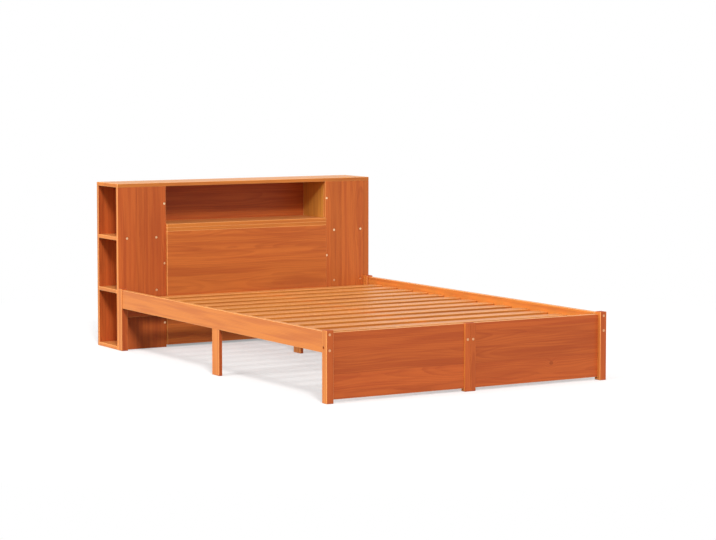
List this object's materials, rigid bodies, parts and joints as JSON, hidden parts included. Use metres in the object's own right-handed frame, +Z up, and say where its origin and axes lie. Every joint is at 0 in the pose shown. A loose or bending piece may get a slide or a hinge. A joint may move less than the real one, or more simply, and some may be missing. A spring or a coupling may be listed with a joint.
{
  "type": "storage bed frame",
  "caption": "Low double bed frame in waxed pine: slatted base, panelled footboard and a bookcase headboard with open end shelves and a niche.",
  "frame": {"origin": "on the floor under the middle of the whole frame, posts and bookcase included", "axes": "+X across the bed to the right as seen from the foot, +Y from foot to head, +Z up"},
  "size_m": [1.455, 2.33, 0.83],
  "materials": {
    "waxed_pine": "satin brown wax on glued pine boards",
    "slat_pine": "thin brown wax on planed pine",
    "dowel_beech": "raw beech",
    "zinc_steel": "zinc plated"
  },
  "bodies": {
    "root": {"back_board_left": "waxed_pine", "back_board_middle": "waxed_pine", "back_board_right": "waxed_pine", "back_screws": "zinc_steel", "barrel_nuts": "zinc_steel", "batten_screws": "zinc_steel", "beam_cleat": "waxed_pine", "bottom_board_left": "waxed_pine", "bottom_board_right": "waxed_pine", "case_screws": "zinc_steel", "centre_beam": "waxed_pine", "centre_leg_foot": "waxed_pine", "centre_leg_head": "waxed_pine", "foot_bolts": "zinc_steel", "foot_middle_post_left": "waxed_pine", "foot_middle_post_right": "waxed_pine", "foot_panel_left": "waxed_pine", "foot_panel_right": "waxed_pine", "foot_post_left": "waxed_pine", "foot_post_right": "waxed_pine", "front_panel_left": "waxed_pine", "front_panel_right": "waxed_pine", "front_panel_screws": "zinc_steel", "head_bolts": "zinc_steel", "head_crossbar": "waxed_pine", "head_post_left": "waxed_pine", "head_post_right": "waxed_pine", "headboard_cap": "waxed_pine", "headboard_panel": "waxed_pine", "lower_shelf_left": "waxed_pine", "lower_shelf_right": "waxed_pine", "mid_leg_left": "waxed_pine", "mid_leg_right": "waxed_pine", "middle_bolts": "zinc_steel", "niche_shelf": "waxed_pine", "partition_left": "waxed_pine", "partition_right": "waxed_pine", "side_rail_left": "waxed_pine", "side_rail_right": "waxed_pine", "slat_01": "slat_pine", "slat_02": "slat_pine", "slat_03": "slat_pine", "slat_04": "slat_pine", "slat_05": "slat_pine", "slat_06": "slat_pine", "slat_07": "slat_pine", "slat_08": "slat_pine", "slat_09": "slat_pine", "slat_10": "slat_pine", "slat_11": "slat_pine", "slat_12": "slat_pine", "slat_13": "slat_pine", "slat_ledger_left": "waxed_pine", "slat_ledger_right": "waxed_pine", "slat_screws": "zinc_steel", "top_board": "waxed_pine", "upper_shelf_left": "waxed_pine", "upper_shelf_right": "waxed_pine", "wooden_dowels": "dowel_beech"}
  },
  "joints": []
}
